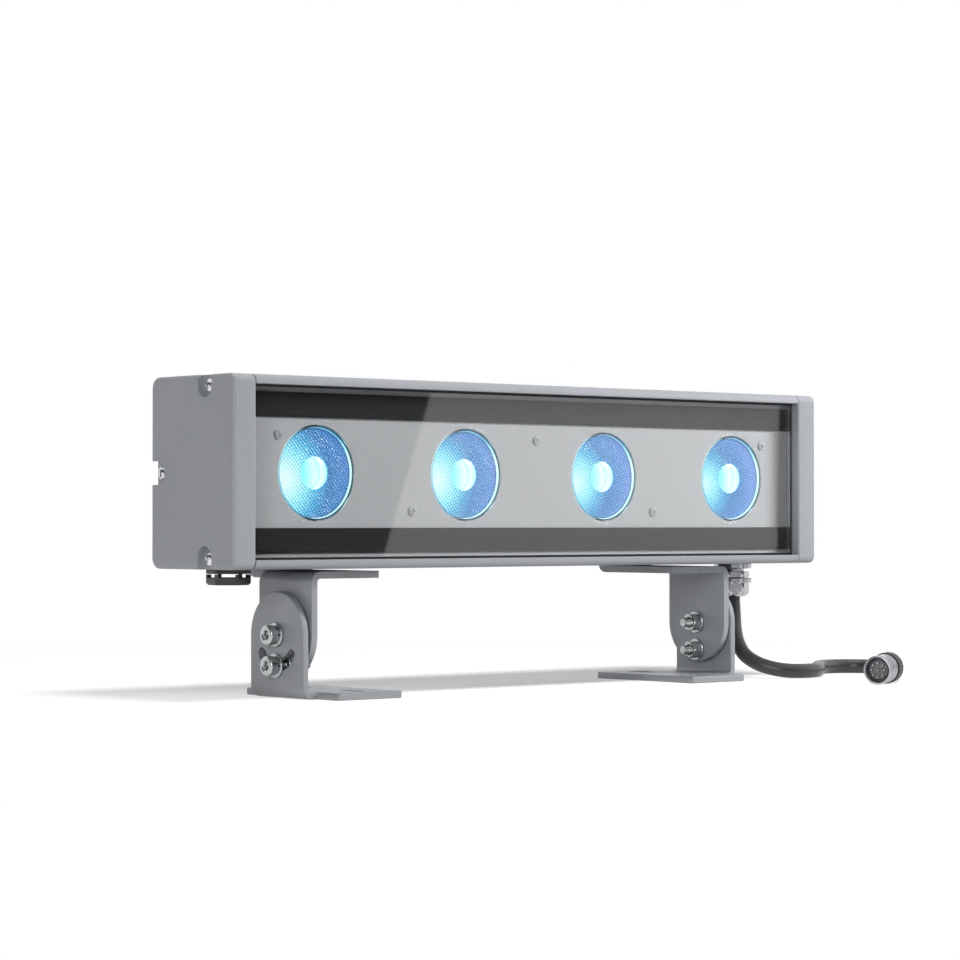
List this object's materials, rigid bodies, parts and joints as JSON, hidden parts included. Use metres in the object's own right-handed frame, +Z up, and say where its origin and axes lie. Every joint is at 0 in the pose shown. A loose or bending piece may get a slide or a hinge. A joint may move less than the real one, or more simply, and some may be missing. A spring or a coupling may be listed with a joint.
{
  "type": "linear LED spotlight",
  "caption": "Linear LED spotlight in a grey extruded housing on two tilting feet, with round lenses behind glass, a cable gland and a short lead with a round connector.",
  "frame": {"origin": "on the surface that the feet stand on, under the middle of the housing", "axes": "+X along the housing towards the end with the cable gland, -Y the way the light shines, +Z up from the feet"},
  "size_m": [0.5141, 0.1753, 0.1766],
  "materials": {
    "coated_aluminium": "fine-textured grey powder coat on aluminium, satin",
    "coated_steel": "fine-textured grey powder coat on steel sheet, satin",
    "lens_plate": "matt grey coat on aluminium sheet",
    "glass": "clear flat glass, polished",
    "lens": "clear acrylic, honeycomb texture round a smooth middle",
    "led": "clear dome, lit cyan to blue",
    "circuit_board": "white solder mask",
    "bare_aluminium": "bare, milled",
    "nickel": "satin nickel plate",
    "cable_jacket": "black rubber jacket, satin",
    "rubber": "black, matt",
    "black_plastic": "black, fine moulded grain",
    "steel": "stainless, satin"
  },
  "bodies": {
    "left_foot": {"left_foot": "coated_steel", "cable": "cable_jacket", "connector_sleeve": "nickel", "connector_insert": "black_plastic", "connector_back_nut": "black_plastic"},
    "housing": {"driver_board": "circuit_board", "front_glass": "glass", "gland_body": "nickel", "gland_cap_nut": "nickel", "gland_seal": "rubber", "glass_gasket": "rubber", "heat_spreader": "bare_aluminium", "housing_profile": "coated_aluminium", "lead_tail": "cable_jacket", "led_1": "led", "led_2": "led", "led_3": "led", "led_4": "led", "led_board": "circuit_board", "left_arm": "coated_steel", "left_arm_screw_1": "steel", "left_arm_screw_2": "steel", "left_cap_screw_bottom": "steel", "left_cap_screw_rear": "steel", "left_cap_screw_top": "steel", "left_cap_seal": "rubber", "left_clamp_bolt": "steel", "left_clamp_nut": "steel", "left_end_cap": "coated_aluminium", "left_pivot_bolt": "steel", "left_pivot_nut": "steel", "left_slide_nut": "steel", "lens_1": "lens", "lens_2": "lens", "lens_3": "lens", "lens_4": "lens", "lens_plate": "lens_plate", "lower_mask_strip": "black_plastic", "plate_screw_1": "steel", "plate_screw_2": "steel", "plate_screw_3": "steel", "plate_screw_4": "steel", "plate_screw_5": "steel", "right_arm": "coated_steel", "right_arm_screw_1": "steel", "right_arm_screw_2": "steel", "right_cap_screw_bottom": "steel", "right_cap_screw_rear": "steel", "right_cap_screw_top": "steel", "right_cap_seal": "rubber", "right_clamp_bolt": "steel", "right_clamp_nut": "steel", "right_end_cap": "coated_aluminium", "right_pivot_bolt": "steel", "right_pivot_nut": "steel", "right_slide_nut": "steel", "upper_mask_strip": "black_plastic", "vent_body": "black_plastic", "vent_cap": "black_plastic"},
    "right_foot": {"right_foot": "coated_steel"}
  },
  "joints": [
    {"name": "tilt", "type": "hinge", "parent": "left_foot", "child": "housing", "pos_m": [-0.1666, 0, 0.035], "axis": [1, 0, 0], "range_deg": [-50, 50]},
    {"name": "right_foot_pivot", "type": "hinge", "parent": "housing", "child": "right_foot", "pos_m": [0.1666, 0, 0.035], "axis": [1, 0, 0], "range_deg": [-50, 50]}
  ],
  "couplings": [
    {"joint": "right_foot_pivot", "follows": "tilt", "ratio": -1}
  ]
}
